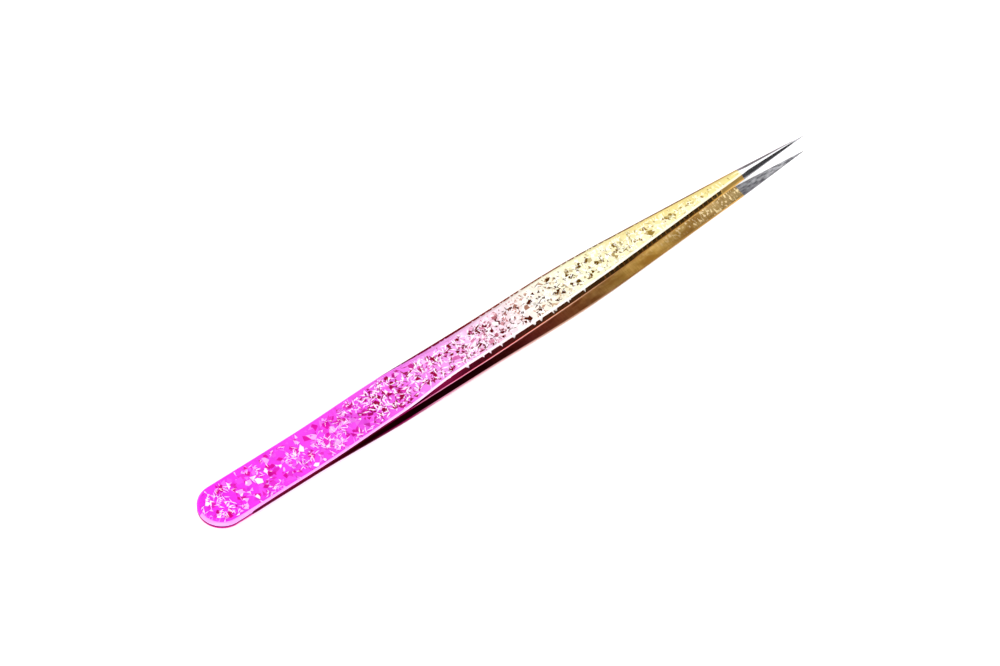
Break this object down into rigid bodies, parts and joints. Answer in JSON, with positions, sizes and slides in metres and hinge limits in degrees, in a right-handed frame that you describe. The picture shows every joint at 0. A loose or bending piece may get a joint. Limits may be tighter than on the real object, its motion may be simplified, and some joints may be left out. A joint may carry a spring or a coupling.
{
  "type": "needle-point tweezers",
  "caption": "Straight fine-point tweezers: two bowed steel arms welded at a round flat heel, with a crackled foil coat on the outer faces and bare needle points.",
  "frame": {"origin": "centre of the bottom of the tool's box, lying on its lower arm", "axes": "+X from the heel to the points, +Y across the width, +Z in the direction the jaws open, towards the upper arm"},
  "size_m": [0.135, 0.009, 0.0067],
  "materials": {
    "plated_steel": "stainless strip plated magenta to gold on its sides and inner face, bare and ground at the needle point",
    "heel_foil": "crackled foil relief, magenta",
    "arm_foil": "crackled foil relief, pink through cream to gold",
    "weld_steel": "fused steel"
  },
  "bodies": {
    "heel": {"upper_heel": "plated_steel", "lower_heel": "plated_steel", "upper_heel_coat": "heel_foil", "lower_heel_coat": "heel_foil", "spot_weld_rear": "weld_steel", "spot_weld_front": "weld_steel"},
    "upper_arm": {"upper_arm": "plated_steel", "upper_arm_coat": "arm_foil"},
    "lower_arm": {"lower_arm": "plated_steel", "lower_arm_coat": "arm_foil"}
  },
  "joints": [
    {"name": "upper_flexure", "type": "hinge", "parent": "heel", "child": "upper_arm", "pos_m": [-0.0295, 0, 0.0047], "axis": [0, 1, 0], "range_deg": [0, 1.38], "stiffness_Nm_per_rad": 2.4},
    {"name": "lower_flexure", "type": "hinge", "parent": "heel", "child": "lower_arm", "pos_m": [-0.0295, 0, 0.00202], "axis": [0, -1, 0], "range_deg": [0, 1.38], "stiffness_Nm_per_rad": 2.4}
  ],
  "couplings": [
    {"joint": "lower_flexure", "follows": "upper_flexure", "ratio": 1}
  ]
}
